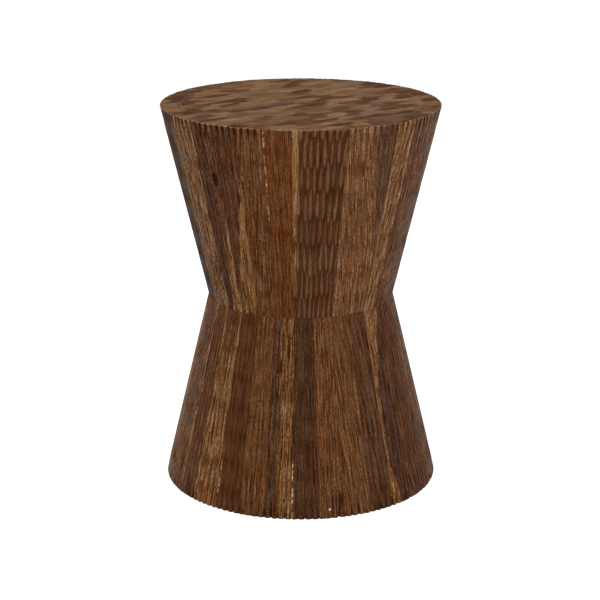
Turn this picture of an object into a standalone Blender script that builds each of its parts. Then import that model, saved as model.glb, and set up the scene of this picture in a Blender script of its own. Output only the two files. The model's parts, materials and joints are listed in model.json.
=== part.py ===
"""Hourglass stool: two coopered cones of hand-fluted staves that meet at a narrow waist.

Sizes are in metres, +Z is up and the front faces -Y. The stool stands on z = 0, with its axis on Z.
The staves of each cone are glued round bevelled discs, and screws through the two waist discs draw
the cones together. Everything that is glued keeps a thin glue line, so that each piece is its own solid.
"""

import math

import bmesh
import bpy
from mathutils import Matrix

# Outline, on the crests of the flutes
HEIGHT = 0.457
RIM_RADIUS = 0.165
WAIST_RADIUS = 0.1105
BASE_RADIUS = 0.165
WAIST_HEIGHT = 0.227

# Staves: the flutes across each one and its wood, from the front joint round towards +X
UPPER_STAVES = (
    (8, "dark"), (8, "brown"), (3, "gold"), (5, "dark"), (4, "brown"), (6, "red"),
    (4, "dark"), (8, "brown"), (5, "gold"), (7, "dark"), (4, "brown"), (6, "red"),
    (8, "brown"), (5, "dark"), (6, "gold"), (4, "brown"), (7, "dark"), (4, "red"),
    (4, "dark"), (6, "gold"), (4, "dark"), (4, "dark"), (4, "brown"), (4, "red"),
)
LOWER_STAVES = (
    (4, "dark"), (4, "brown"), (4, "brown"), (4, "dark"), (4, "gold"), (6, "red"),
    (4, "brown"), (6, "dark"), (8, "brown"), (5, "red"), (7, "brown"), (6, "gold"),
    (8, "dark"), (5, "brown"), (7, "red"), (8, "brown"), (6, "dark"), (6, "gold"),
    (6, "brown"), (3, "dark"), (5, "gold"), (4, "red"), (4, "brown"), (4, "gold"),
)
FRONT_JOINT = math.radians(-3.8)
STAVE_THICKNESS = 0.024
FLUTE_DEPTH = 0.0011
FLUTE_STEPS = 4

# Seat: boards glued edge to edge, bevelled to wedge in the mouth of the upper cone
SEAT_THICKNESS = 0.022
SEAT_BOARDS = 5
SEAT_GRAIN = math.radians(28)

# Waist: one disc in the narrow end of each cone, and the screws between them
WAIST_DISC_THICKNESS = 0.018
SCREW_COUNT = 3
SCREW_CIRCLE_RADIUS = 0.050
SCREW_LENGTH = 0.032
SCREW_RADIUS = 0.0025
SCREW_POINT = 0.006
SCREW_HEAD_RADIUS = 0.005
SCREW_HEAD_HEIGHT = 0.003

# Base: a ring that stiffens the open mouth of the lower cone, clear of the floor
BASE_RING_THICKNESS = 0.018
BASE_RING_WIDTH = 0.038
BASE_RING_RECESS = 0.012

# Joints and facets
GLUE_LINE = 0.0003
SCREW_CLEARANCE = 0.0003
CUTTER_OVERSHOOT = 0.002
ROUND_STEPS = 96
SCREW_STEPS = 16
SHARP_EDGE = math.radians(30)

# Finishes: colour and roughness of each wood, and of the screws
WOODS = {
    "dark": ((0.080, 0.036, 0.018), 0.45),
    "brown": ((0.155, 0.074, 0.030), 0.45),
    "red": ((0.130, 0.048, 0.017), 0.45),
    "gold": ((0.300, 0.155, 0.055), 0.48),
    "seat": ((0.160, 0.095, 0.052), 0.42),
    "ply": ((0.420, 0.300, 0.180), 0.60),
}
STEEL_COLOUR = (0.550, 0.540, 0.520)
STEEL_ROUGHNESS = 0.35


def clear_scene():
    for item in list(bpy.data.objects):
        bpy.data.objects.remove(item, do_unlink=True)


def add_collection(name):
    collection = bpy.data.collections.new(name)
    bpy.context.scene.collection.children.link(collection)
    return collection


def add_finish(name, colour, roughness, metallic=0.0):
    finish = bpy.data.materials.new(name)
    finish.use_nodes = True
    shader = finish.node_tree.nodes["Principled BSDF"]
    shader.inputs["Base Color"].default_value = (*colour, 1.0)
    shader.inputs["Roughness"].default_value = roughness
    shader.inputs["Metallic"].default_value = metallic
    return finish


def add_object(name, mesh, finish, collection, parent):
    item = bpy.data.objects.new(name, mesh)
    mesh.materials.append(finish)
    collection.objects.link(item)
    item.parent = parent
    return item


def mesh_from(name, shape):
    """A smooth-shaded mesh from a bmesh, sharp along its real edges."""
    bmesh.ops.recalc_face_normals(shape, faces=shape.faces)
    mesh = bpy.data.meshes.new(name)
    shape.to_mesh(mesh)
    shape.free()
    mesh.shade_smooth()
    mesh.set_sharp_from_angle(angle=SHARP_EDGE)
    return mesh


def wall_radius(height):
    """Outside radius of the stool at a height."""
    if height > WAIST_HEIGHT:
        share = (height - WAIST_HEIGHT) / (HEIGHT - WAIST_HEIGHT)
        return WAIST_RADIUS + share * (RIM_RADIUS - WAIST_RADIUS)
    share = (WAIST_HEIGHT - height) / WAIST_HEIGHT
    return WAIST_RADIUS + share * (BASE_RADIUS - WAIST_RADIUS)


def bore_radius(height):
    """Inside radius of the ring of staves at a height."""
    return wall_radius(height) - STAVE_THICKNESS


def stave_mesh(name, low, high, flutes, pitch):
    """A stave from its first joint at angle 0: the wall's section swept about the axis, then fluted."""
    shape = bmesh.new()
    corners = (
        (wall_radius(low), low),
        (wall_radius(high), high),
        (bore_radius(high), high),
        (bore_radius(low), low),
    )
    section = shape.faces.new([shape.verts.new((radius, 0, height)) for radius, height in corners])
    width = flutes * pitch
    bmesh.ops.spin(
        shape, geom=[section], axis=(0, 0, 1), angle=width, steps=flutes * FLUTE_STEPS
    )
    step = pitch / FLUTE_STEPS
    for vert in shape.verts:
        angle = math.atan2(vert.co.y, vert.co.x)
        radius = math.hypot(vert.co.x, vert.co.y)
        if radius > wall_radius(vert.co.z) - STAVE_THICKNESS / 2:
            radius -= FLUTE_DEPTH * abs(math.sin(math.pi * angle / pitch))
        inset = 0.0
        if angle < step / 2:
            inset = GLUE_LINE / 2
        elif angle > width - step / 2:
            inset = -GLUE_LINE / 2
        vert.co.x = radius * math.cos(angle) - inset * math.sin(angle)
        vert.co.y = radius * math.sin(angle) + inset * math.cos(angle)
    return mesh_from(name, shape)


def build_cone(prefix, staves, low, high, finishes, collection, parent):
    """One ring of staves, laid side by side from the front joint."""
    pitch = 2 * math.pi / sum(flutes for flutes, _ in staves)
    start = FRONT_JOINT - math.pi / 2
    for number, (flutes, wood) in enumerate(staves, start=1):
        name = f"{prefix}_{number:02d}"
        mesh = stave_mesh(name, low, high, flutes, pitch)
        stave = add_object(name, mesh, finishes[wood], collection, parent)
        stave.rotation_euler.z = start
        start += flutes * pitch


def bevelled_disc(low, high):
    """A disc between two heights whose edge follows the bore, less a glue line."""
    shape = bmesh.new()
    bmesh.ops.create_cone(
        shape,
        cap_ends=True,
        segments=ROUND_STEPS,
        radius1=bore_radius(low) - GLUE_LINE,
        radius2=bore_radius(high) - GLUE_LINE,
        depth=high - low,
        matrix=Matrix.Translation((0, 0, (low + high) / 2)),
    )
    return shape


def keep_one_side(shape, offset, direction):
    """Cut a closed shape square across Y at an offset, keep what lies the other way from direction, and cap it."""
    geometry = shape.verts[:] + shape.edges[:] + shape.faces[:]
    bmesh.ops.bisect_plane(
        shape, geom=geometry, plane_co=(0, offset, 0), plane_no=(0, direction, 0), clear_outer=True
    )
    bmesh.ops.holes_fill(shape, edges=[edge for edge in shape.edges if edge.is_boundary])


def build_seat(finish, collection, parent):
    """The seat's boards, side by side across the grain, flush with the ends of the staves."""
    edge = bore_radius(HEIGHT) - GLUE_LINE
    board_width = 2 * edge / SEAT_BOARDS
    for index in range(SEAT_BOARDS):
        shape = bevelled_disc(HEIGHT - SEAT_THICKNESS, HEIGHT)
        near = -edge + index * board_width
        if index > 0:
            keep_one_side(shape, near + GLUE_LINE / 2, -1)
        if index < SEAT_BOARDS - 1:
            keep_one_side(shape, near + board_width - GLUE_LINE / 2, 1)
        name = f"seat_board_{index + 1}"
        board = add_object(name, mesh_from(name, shape), finish, collection, parent)
        board.rotation_euler.z = SEAT_GRAIN


def add_turned(name, profile, closed, steps, finish, collection, parent):
    """A turned piece from its profile of (radius, height), listed down its outer side."""
    shape = bmesh.new()
    points = [shape.verts.new((radius, 0, height)) for radius, height in profile]
    for first, second in zip(points, points[1:] + points[:1] if closed else points[1:]):
        shape.edges.new((first, second))
    mesh = bpy.data.meshes.new(name)
    shape.to_mesh(mesh)
    shape.free()
    turned = add_object(name, mesh, finish, collection, parent)
    lathe = turned.modifiers.new("Lathe", "SCREW")
    lathe.steps = lathe.render_steps = steps
    lathe.use_merge_vertices = True
    lathe.merge_threshold = 0.00001
    return turned


def screw_profile(head_low, gap, overshoot):
    """A countersunk screw that points up, or with a gap and an overshoot the hole that takes it."""
    tip = head_low + SCREW_LENGTH
    shank = SCREW_RADIUS + gap
    head = SCREW_HEAD_RADIUS + gap
    profile = [
        (0.0, tip + gap),
        (shank, tip - SCREW_POINT + gap),
        (shank, head_low + SCREW_HEAD_HEIGHT),
        (head, head_low),
    ]
    if overshoot:
        profile.append((head, head_low - overshoot))
    profile.append((0.0, head_low - overshoot))
    return profile


def build_waist(disc_finish, screw_finish, collection, cutters, parent):
    """The two waist discs, back to back on the waist joint, and the screws driven up through both."""
    upper_low = WAIST_HEIGHT + GLUE_LINE / 2
    lower_high = WAIST_HEIGHT - GLUE_LINE / 2
    lower_low = lower_high - WAIST_DISC_THICKNESS
    spans = {
        "upper_waist_disc": (upper_low, upper_low + WAIST_DISC_THICKNESS),
        "lower_waist_disc": (lower_low, lower_high),
    }
    discs = []
    for name, (low, high) in spans.items():
        mesh = mesh_from(name, bevelled_disc(low, high))
        discs.append(add_object(name, mesh, disc_finish, collection, parent))
    for index in range(SCREW_COUNT):
        angle = 2 * math.pi * index / SCREW_COUNT - math.pi / 2
        place = (SCREW_CIRCLE_RADIUS * math.cos(angle), SCREW_CIRCLE_RADIUS * math.sin(angle), 0)
        profile = screw_profile(lower_low, 0.0, 0.0)
        screw = add_turned(
            f"waist_screw_{index + 1}", profile, False, SCREW_STEPS, screw_finish, collection, parent
        )
        screw.location = place
        hole_profile = screw_profile(lower_low, SCREW_CLEARANCE, CUTTER_OVERSHOOT)
        hole = add_turned(
            f"screw_hole_{index + 1}", hole_profile, False, SCREW_STEPS, screw_finish, cutters, parent
        )
        hole.location = place
        hole.hide_render = True
        hole.display_type = "WIRE"
        for disc in discs:
            cut = disc.modifiers.new(hole.name, "BOOLEAN")
            cut.operation = "DIFFERENCE"
            cut.object = hole


def build_base_ring(finish, collection, parent):
    """The ring inside the foot of the lower cone, bevelled to the bore."""
    low = BASE_RING_RECESS
    high = low + BASE_RING_THICKNESS
    inside = bore_radius(high) - GLUE_LINE - BASE_RING_WIDTH
    profile = (
        (bore_radius(high) - GLUE_LINE, high),
        (bore_radius(low) - GLUE_LINE, low),
        (inside, low),
        (inside, high),
    )
    add_turned("base_ring", profile, True, ROUND_STEPS, finish, collection, parent)


def main():
    clear_scene()
    parts = add_collection("hourglass_stool")
    cutters = add_collection("cutters")
    stool = bpy.data.objects.new("stool", None)
    parts.objects.link(stool)
    finishes = {
        name: add_finish(f"{name}_wood", colour, roughness)
        for name, (colour, roughness) in WOODS.items()
    }
    steel = add_finish("screw_steel", STEEL_COLOUR, STEEL_ROUGHNESS, metallic=1.0)
    joint_low = WAIST_HEIGHT - GLUE_LINE / 2
    joint_high = WAIST_HEIGHT + GLUE_LINE / 2
    build_cone("upper_stave", UPPER_STAVES, joint_high, HEIGHT, finishes, parts, stool)
    build_cone("lower_stave", LOWER_STAVES, 0.0, joint_low, finishes, parts, stool)
    build_seat(finishes["seat"], parts, stool)
    build_waist(finishes["ply"], steel, parts, cutters, stool)
    build_base_ring(finishes["ply"], parts, stool)


if __name__ == "__main__":
    main()
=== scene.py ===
"""Hourglass stool, finished: gouge-carved staves, a scooped seat, plywood fittings and a plain studio.

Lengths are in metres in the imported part's own frame: +Z is up, the axis is on Z and the front faces -Y.
A stave or board starts as a flat grid that is closed into a solid, then carved and bent to its place.
"""

import json
import math
from dataclasses import dataclass, replace

import bmesh
import bpy
import numpy as np
from bpy.props import FloatProperty, FloatVectorProperty, IntProperty, PointerProperty
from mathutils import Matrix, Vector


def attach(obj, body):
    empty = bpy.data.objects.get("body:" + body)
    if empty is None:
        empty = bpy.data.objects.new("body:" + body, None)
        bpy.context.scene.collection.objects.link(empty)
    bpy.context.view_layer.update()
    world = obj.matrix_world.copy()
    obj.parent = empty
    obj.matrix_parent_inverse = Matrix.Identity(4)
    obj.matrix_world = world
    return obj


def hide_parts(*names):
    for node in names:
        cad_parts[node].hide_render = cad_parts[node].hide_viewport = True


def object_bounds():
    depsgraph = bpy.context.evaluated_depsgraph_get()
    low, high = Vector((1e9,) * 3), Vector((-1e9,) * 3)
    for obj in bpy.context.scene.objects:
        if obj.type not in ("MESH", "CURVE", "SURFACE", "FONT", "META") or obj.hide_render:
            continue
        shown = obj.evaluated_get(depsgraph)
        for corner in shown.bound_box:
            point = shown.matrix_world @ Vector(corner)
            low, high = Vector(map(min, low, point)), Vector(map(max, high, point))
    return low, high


bl_info = {
    "name": "Carved hourglass stool",
    "version": (1, 0, 0),
    "blender": (4, 5, 0),
    "location": "3D View > Sidebar > Stool",
    "description": "Carves and finishes the staves, seat and fittings of an hourglass stool",
    "category": "Object",
}

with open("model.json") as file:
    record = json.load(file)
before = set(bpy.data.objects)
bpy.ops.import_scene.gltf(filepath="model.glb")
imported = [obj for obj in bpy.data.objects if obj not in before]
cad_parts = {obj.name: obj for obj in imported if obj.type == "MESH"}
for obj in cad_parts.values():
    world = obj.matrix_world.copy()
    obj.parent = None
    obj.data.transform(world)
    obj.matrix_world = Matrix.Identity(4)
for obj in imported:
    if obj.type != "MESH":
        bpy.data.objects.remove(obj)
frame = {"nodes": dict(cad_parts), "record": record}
CAD_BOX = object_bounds()
BODY = "root"
SLOT_OF = {part["node"]: part["material_slot"] for part in frame["record"]["subparts"]}

# Joints: the CAD's gap, the one left here, how far a cone closes the waist's, and the painted shade of a
# joint
JOINT_GAP = 0.0003
CLOSED_GAP = 0.00002
WAIST_FIT = 0.00013
JOINT_SHADE = 0.20

# Meshes: their steps, the share of the seat's radius that boards keep to, and what counts as no distance
COLUMNS_PER_FLUTE = 10
WALL_ROW = 0.0019
END_ROW = 0.0015
BOARD_STEP = 0.0015
SHARP_EDGE = math.radians(50)
BOARD_TIP = 0.9995
TINY = 0.00001

# Small differences between staves, in the depth of their cuts and in their tone
SMALL_SPREAD = (0.92, 1.08)

# Cuts: where along one it is widest, how full its point is, its reach to each side in flutes, how narrow a
# dark one is, the painted brightness level with the wood round it, how much less painted light shows in
# sapwood, and the painted sheen on a clear one
CUT_WIDEST = 0.68
CUT_POINT = 0.8
CUT_SEARCH = 1.2
NARROW_CUT = 0.6
CUT_GROUND = 0.38
CUT_IN_SAP = 0.6
PLAIN_CONTRAST = 0.2
CUT_SHEEN = 0.16

# Slots between flutes: width down the wall and at the rim or foot, reach from there, smallest beside the
# largest, their painted shade, the painted highlight on the flutes between them at the rim, and a foot
# nick's height row by row
SLOT_WIDTH = 0.0011
MOUTH_SLOT_WIDTH = 0.0013
SLOT_REACH = 0.0110
SMALLEST_RIM_SLOT = 0.78
SMALLEST_FOOT_SLOT = 0.25
SLOT_SHADE = 1.5
LOBE_LIGHT = 0.22
NICK_ROWS = (1.0, 0.6, 0.1)

# How far the painted dark line between two flutes wanders, in flutes
REED_WANDER = 0.10

# Upper ends: how far carving fades over them, their tones, the rows of the eased edge and the faintest
# painted highlight on it, and the painted shade along the rim at the back: from which sine of the angle
# round, how far in and how dark
END_FADE = 0.010
END_TONES = (0.78, 1.12)
EASED_ROWS = 3
FAINTEST_RIM_HIGHLIGHT = 0.25
DARK_RIM = 0.45
BACK_SHADE_REACH = 0.0060
BACK_RIM_SHADE = 0.8

# Scoops: steps between them over their length and width, the share of dark ones, how the painted light and
# shade of one grade over it, how softly two blend, and how low and how dark the ridges between them are
SCOOP_STEP_ALONG = 0.62
SCOOP_STEP_ACROSS = 0.58
DARK_SCOOPS = 0.36
SCOOP_SHADE_GRADE = 0.20
SCOOP_BLEND = 0.00006
RIDGE_DROP = 0.00004
RIDGE_SHADE = 0.5

# A pale line in the filler's colour in the seam round the seat: where it starts and is full, in from the
# edge, how far round from the two sides, as the cosine of twice the angle, and how much
SEAM_EDGE = (0.0011, 0.0004)
SEAM_SIDES = (0.55, 0.9)
SEAM_PALE_LINE = 0.35

# How strong the fibres show on the seat and, at the least, in sapwood
SEAT_FIBRE = 0.34
SAP_FIBRE = 0.9

# How soft the edge of a streak is, and how far it wavers slowly and quickly along the stave
STREAK_EDGE = 0.0022
SLOW_WAVER = 0.0005
QUICK_WAVER = 0.0003

# Sapwood, dark heart and pale filler along a stave: left edge and right edge, as shares of its width, and
# strength, each at the stave's foot, middle and head
STREAKS = {
    "upper_stave_01": (
        ("sap", (-0.06, 0.0, 0.03), (0.0, 0.09, 0.12), (0.0, 1.0, 1.0)),
        ("filler", (-0.06, 0.0, 0.03), (0.0, 0.09, 0.12), (0.0, 0.0, 0.26)),
    ),
    "upper_stave_02": (("heart", (1.2, 0.82, 0.56), (1.0, 1.0, 1.0), (0.5, 0.7, 0.7)),),
    "upper_stave_04": (
        ("sap", (0.0, 0.0, 0.0), (-0.05, 0.14, 0.20), (0.44, 0.44, 0.44)),
        ("heart", (0.0, 0.14, 0.20), (0.28, 0.38, 0.46), (0.8, 0.8, 0.8)),
    ),
    "upper_stave_19": (("sap", (0.62, 0.60, 0.60), (1.0, 1.0, 1.0), (0.42, 0.42, 0.42)),),
    "upper_stave_20": (
        ("heart", (0.0, 0.0, 0.0), (0.22, 0.16, 0.20), (0.45, 0.45, 0.45)),
        ("sap", (0.62, 0.72, 0.85), (1.0, 1.0, 1.0), (0.5, 0.4, 0.3)),
    ),
    "upper_stave_21": (
        ("heart", (0.0, 0.02, 0.10), (0.28, 0.55, 0.60), (0.9, 0.7, 0.3)),
        ("sap", (0.34, 0.95, 1.50), (1.0, 1.0, 1.0), (0.7, 0.7, 0.4)),
    ),
    "upper_stave_22": (
        ("heart", (0.0, 0.0, 0.0), (0.0, 0.30, 1.0), (0.4, 0.4, 0.4)),
        ("sap", (-0.1, 0.62, 1.30), (1.0, 1.0, 1.0), (0.5, 0.7, 0.7)),
    ),
    "upper_stave_24": (("sap", (0.93, 0.97, 1.10), (1.0, 1.0, 1.0), (0.3, 0.5, 0.0)),),
    "lower_stave_05": (
        ("heart", (0.58, 0.20, 1.06), (1.0, 1.0, 1.0), (1.0, 1.1, 0.9)),
        ("sap", (0.0, 0.0, 0.0), (0.58, 0.14, 1.04), (0.7, 0.8, 0.8)),
    ),
    "lower_stave_19": (("sap", (0.84, 0.86, 0.84), (0.97, 0.98, 0.97), (0.8, 0.9, 0.8)),),
    "lower_stave_21": (("heart", (0.15, 0.18, 0.12), (0.8, 0.85, 0.9), (0.0, 0.2, 0.62)),),
    "lower_stave_24": (("heart", (0.0, 0.0, 0.0), (0.45, 0.38, 0.35), (0.8, 0.7, 0.7)),),
}
PLAIN_STAVES = (
    "upper_stave_03 upper_stave_05 upper_stave_23 lower_stave_01 lower_stave_02 lower_stave_03"
    " lower_stave_04 lower_stave_06 lower_stave_07 lower_stave_20 lower_stave_22 lower_stave_23"
).split()

# Pale filler in a stave's first joint, between two shares of its height, and how much of it there is
FILLED_JOINTS = {
    "upper_stave_24": (0.50, 1.0, 0.55),
    "lower_stave_01": (0.0, 0.30, 1.0),
    "lower_stave_22": (0.08, 0.26, 0.6),
}

# Where filler starts to thin and where it ends beside the joint, how soft its two ends are, and the waves
# that break it up and make it wander, each with its size, rate and start
FILLER_EDGE = (0.0008, 0.0017)
FILLER_END = 0.01
FILLER_BREAKS = ((1.0, 97, 0.0), (1.0, 211, 1.0), (1.0, 53, 2.0))
FILLER_WANDER = ((0.0004, 31, 0.0), (0.0003, 83, 2.0))

# Knots and pale chips: share of the width, share of the height and radius, with how black a knot is, and
# the stretch that draws a knot out along the grain and a chip across it
KNOTS = {
    "upper_stave_21": (0.78, 0.72, 0.0054, 1.5),
    "lower_stave_02": (0.83, 0.095, 0.0050, 0.5),
}
KNOT_STRETCH = (1.3, 0.55)
CHIPS = {
    "upper_stave_02": (0.476, 0.833, 0.0015),
    "lower_stave_02": (0.404, 0.044, 0.0014),
}
CHIP_STRETCH = (1.0, 1.6)

# What is dark in the wood is redder and what is light is yellower: a power of the shade for each channel
SHADE_POWERS = (0.75, 1.02, 1.50)

# Noises in the finishes: scale across, along and through the grain, detail and distortion
NOISES = {
    "figure": ((105.0, 2.4, 105.0), 2.0, 0.5),
    "fibre": ((1350.0, 26.0, 1350.0), 0.0, 0.0),
    "pore": ((800.0, 34.0, 800.0), 0.0, 0.0),
    "fleck": ((1150.0, 300.0, 1150.0), 1.0, 0.0),
    "seat_cloud": ((110.0, 55.0, 110.0), 2.0, 0.0),
    "seat_stray": ((70.0, 45.0, 70.0), 1.0, 0.0),
    "stave_stray": ((160.0, 30.0, 160.0), 3.0, 0.0),
    "ply_face": ((14.0, 260.0, 30.0), 4.0, 0.3),
    "zinc_cloud": ((420.0, 420.0, 420.0), 3.0, 0.0),
}

# Bands in the finishes: the low and high ends of a noise or mark, and what each end stands for: a share of
# pale wood for figure and mottle, of their own colour for sap and heart, and a shade for fibre to blue
BANDS = {
    "figure": (0.34, 0.66, 0.22, 0.78),
    "seat_cloud": (0.2, 0.8, -0.32, 0.32),
    "mottle": (-0.95, 1.25, 0.0, 1.0),
    "sap": (0.35, 0.65, 0.0, 0.9),
    "heart": (0.35, 0.75, 0.0, 0.85),
    "fibre": (0.33, 0.67, 0.22, 1.90),
    "fleck": (0.25, 0.75, 0.12, 1.90),
    "pore": (0.54, 0.66, 1.08, 0.60),
    "relief": (-1.3, 0.72, 0.10, 1.62),
    "green": (0.3, 0.7, 0.85, 1.15),
    "blue": (0.3, 0.7, 0.60, 1.40),
    "wood_roughness": (0.3, 0.7, 0.38, 0.52),
    "ply": (0.25, 0.85, 0.0, 1.0),
    "zinc_roughness": (0.3, 0.7, 0.28, 0.46),
}

# Lacquer: gloss of most staves, dark ones and the seat, how far fibres fray a streak, how far the painted
# highlights and sheen turn pale, and how high fibres and pores stand in the bump
STAVE_GLOSS = 0.031
DARK_GLOSS = 0.022
SEAT_GLOSS = 0.003
FRAY = 0.9
HIGHLIGHT_AND_SHEEN_SHARE = 0.7
FIBRE_HEIGHT = 0.6
PORE_HEIGHT = -0.5

# Fittings: how much the plywood's face grain and veneers show, and the dull zinc beside the bright
PLY_FACE = 0.7
PLY_VENEERS = 0.45
DULL_ZINC = 0.75

# Studio: each lamp's place, width, height and setting for its power, then the floor's size, the grey that
# takes the shadows, and its own glow
LAMPS = {
    "overhead_lamp": ((0.0, -0.5, 2.6), 2.0, 2.0, "overhead_power"),
    "front_left_lamp": ((-1.7, -2.3, 1.5), 1.1, 1.6, "front_power"),
    "front_right_lamp": ((1.7, -2.3, 1.5), 1.1, 1.6, "front_power"),
    "back_lamp": ((0.0, 2.3, 2.9), 2.4, 1.4, "back_power"),
}
FLOOR_RADIUS = 9.0
FLOOR_SIDES = 96
SHADOW_GREY = (0.42, 0.42, 0.42, 1.0)
FLOOR_GLOW = 0.80
WHITE = (1.0, 1.0, 1.0, 1.0)


@dataclass(frozen=True)
class Look:
    """How a stave is cut and how it shows.

    tone is how light it is beside others of its wood, with 0 for one that is drawn, and fibre how strong
    its fibres are. cut_length, cut_strength and lean are those of its cuts. contrast is how much lighter
    their floors are painted than the wood round them, and is below 0 where they are painted darker.
    groove_shade, reed_line_shade and row_shade are the painted shade in the grooves between flutes, on
    the soft lines over them and between rows of cuts. slot is how clear the slots at its rim or foot are,
    cut deeper and with darker painted shade, and sheen how much painted grey sheen lies on it.
    """

    cut_strength: float
    contrast: float
    groove_shade: float
    reed_line_shade: float
    row_shade: float
    slot: float
    tone: float = 0.0
    fibre: float = 1.0
    cut_length: float = 1.0
    lean: float = 0.0
    sheen: float = 0.0


UPPER_LOOK = Look(cut_strength=0.90, contrast=0.25, groove_shade=0.25, reed_line_shade=0.20, row_shade=0.24, slot=1.2)
LOWER_LOOK = Look(cut_strength=0.70, contrast=0.18, groove_shade=0.12, reed_line_shade=0.25, row_shade=0.26, slot=1.0)
# Low tones of side staves, such as upper_stave_05 and upper_stave_19, are partly painted shade
OWN_LOOKS = {
    "upper_stave_01": dict(
        tone=1.05,
        fibre=0.40,
        cut_length=1.22,
        cut_strength=1.10,
        contrast=1.15,
        groove_shade=0.0,
        reed_line_shade=0.0,
        slot=0.25,
    ),
    "upper_stave_02": dict(
        tone=1.25, fibre=0.95, lean=0.12, contrast=0.50, reed_line_shade=0.32, slot=0.75, sheen=0.06
    ),
    "upper_stave_03": dict(tone=1.08, lean=-0.06, groove_shade=0.35, reed_line_shade=0.42, sheen=0.055),
    "upper_stave_04": dict(tone=1.60, fibre=1.1, groove_shade=0.55, reed_line_shade=0.38, row_shade=0.32, sheen=0.055),
    "upper_stave_05": dict(
        tone=0.77, fibre=1.2, contrast=0.60, groove_shade=0.60, reed_line_shade=0.30, row_shade=0.42, sheen=0.07
    ),
    "upper_stave_06": dict(contrast=0.60, groove_shade=0.60, row_shade=0.36),
    "upper_stave_08": dict(fibre=0.5, contrast=0.95),
    "upper_stave_12": dict(fibre=0.45, contrast=1.0),
    "upper_stave_16": dict(fibre=0.5, contrast=0.90),
    "upper_stave_18": dict(contrast=0.60, row_shade=0.36),
    "upper_stave_19": dict(tone=0.42, contrast=0.60, groove_shade=0.45, row_shade=0.42),
    "upper_stave_20": dict(tone=0.97, fibre=1.25, groove_shade=0.40, row_shade=0.28),
    "upper_stave_21": dict(tone=1.08, reed_line_shade=0.15, slot=1.55),
    "upper_stave_22": dict(tone=1.01, fibre=0.8, reed_line_shade=0.12, slot=1.45),
    "upper_stave_23": dict(tone=0.91, fibre=0.75, lean=-0.05, reed_line_shade=0.10, slot=1.0),
    "upper_stave_24": dict(tone=1.01, fibre=0.6, reed_line_shade=0.08, slot=0.40),
    "lower_stave_01": dict(tone=0.75, fibre=0.75, reed_line_shade=0.10, sheen=0.012),
    "lower_stave_02": dict(tone=0.87, fibre=0.78, reed_line_shade=0.08),
    "lower_stave_03": dict(tone=0.81, fibre=0.66, lean=0.08, contrast=-0.95, reed_line_shade=0.10),
    "lower_stave_04": dict(tone=0.89, fibre=0.6, lean=0.08, contrast=-1.30, reed_line_shade=0.12),
    "lower_stave_05": dict(tone=0.84),
    "lower_stave_06": dict(tone=0.69, fibre=0.9, contrast=-1.25, groove_shade=0.35, reed_line_shade=0.35),
    "lower_stave_07": dict(tone=0.87, fibre=1.15, groove_shade=0.35, row_shade=0.36),
    "lower_stave_09": dict(fibre=0.65, contrast=-1.0),
    "lower_stave_11": dict(contrast=0.70),
    "lower_stave_14": dict(fibre=0.65, contrast=-1.0),
    "lower_stave_17": dict(fibre=0.6, contrast=0.80),
    "lower_stave_19": dict(tone=0.96, row_shade=0.32),
    "lower_stave_20": dict(tone=1.27, fibre=0.7, reed_line_shade=0.32),
    "lower_stave_21": dict(tone=0.98, fibre=0.9, cut_strength=1.05, contrast=0.70, reed_line_shade=0.45),
    "lower_stave_22": dict(tone=0.71, fibre=0.5, reed_line_shade=0.32, row_shade=0.45, sheen=0.012),
    "lower_stave_23": dict(tone=0.87, fibre=0.7),
    "lower_stave_24": dict(tone=0.82, fibre=0.95, reed_line_shade=0.15),
}


def length_property(name, description, default, low, high):
    """A length with its limits."""
    return FloatProperty(
        name=name, description=description, default=default, min=low, max=high, unit="LENGTH"
    )


def share_property(name, description, default, low, high):
    """A share of another size, with its limits."""
    return FloatProperty(
        name=name, description=description, default=default, min=low, max=high, subtype="FACTOR"
    )


def lamp_property(name, description, default):
    """The power of a lamp."""
    return FloatProperty(name=name, description=description, default=default, min=0.0, unit="POWER")


def colour_property(name, description, default):
    """A colour of three channels."""
    return FloatVectorProperty(
        name=name, description=description, default=default, subtype="COLOR", size=3, min=0.0, max=1.0
    )


class CarvingSettings(bpy.types.PropertyGroup):
    """The gouge cuts on the outside of the staves"""

    flutes_round: IntProperty(
        name="Flutes round", description="Gouge flutes round each cone", default=128, min=24, max=240
    )
    row_length: length_property(
        "Row length", "Distance along a stave from one row of cuts to the next", 0.0335, 0.010, 0.080
    )
    reach: share_property("Reach", "Length of a cut over the distance between rows", 0.94, 0.5, 2.0)
    spread: share_property("Spread", "Widest part of a cut over the width of a flute", 0.58, 0.2, 1.0)
    cut_depth: length_property("Cut depth", "Depth of a full cut below the flutes", 0.0010, 0.0002, 0.003)
    flute_depth: length_property(
        "Flute depth", "Depth of the shallow flutes that the cuts follow", 0.0008, 0.0, 0.002
    )
    slot_depth: length_property(
        "Slot depth", "Depth of the slots between flutes at the rim and the foot", 0.0018, 0.0, 0.003
    )
    rim_ease: length_property(
        "Eased edge", "Size of the rubbed edge at the rim and the foot", 0.0012, 0.0003, 0.003
    )
    foot_nick: length_property(
        "Foot nick", "Height of the nicks between flutes at the foot", 0.0012, 0.0, 0.003
    )
    seed: IntProperty(name="Seed", description="Seed of the cuts' small differences", default=11)


class SeatSettings(bpy.types.PropertyGroup):
    """The shallow scoops over the seat and the ends of the staves"""

    scoop_length: length_property("Scoop length", "Length of a scoop", 0.046, 0.02, 0.12)
    scoop_width: length_property("Scoop width", "Width of a scoop", 0.020, 0.008, 0.06)
    scoop_depth: length_property("Scoop depth", "Depth of a scoop", 0.0008, 0.0001, 0.003)
    direction: FloatProperty(
        name="Direction",
        description="Direction that the scoops run in, from +X towards +Y",
        default=math.radians(37),
        subtype="ANGLE",
    )
    seed: IntProperty(name="Seed", description="Seed of the scoops' small differences", default=7)


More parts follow.
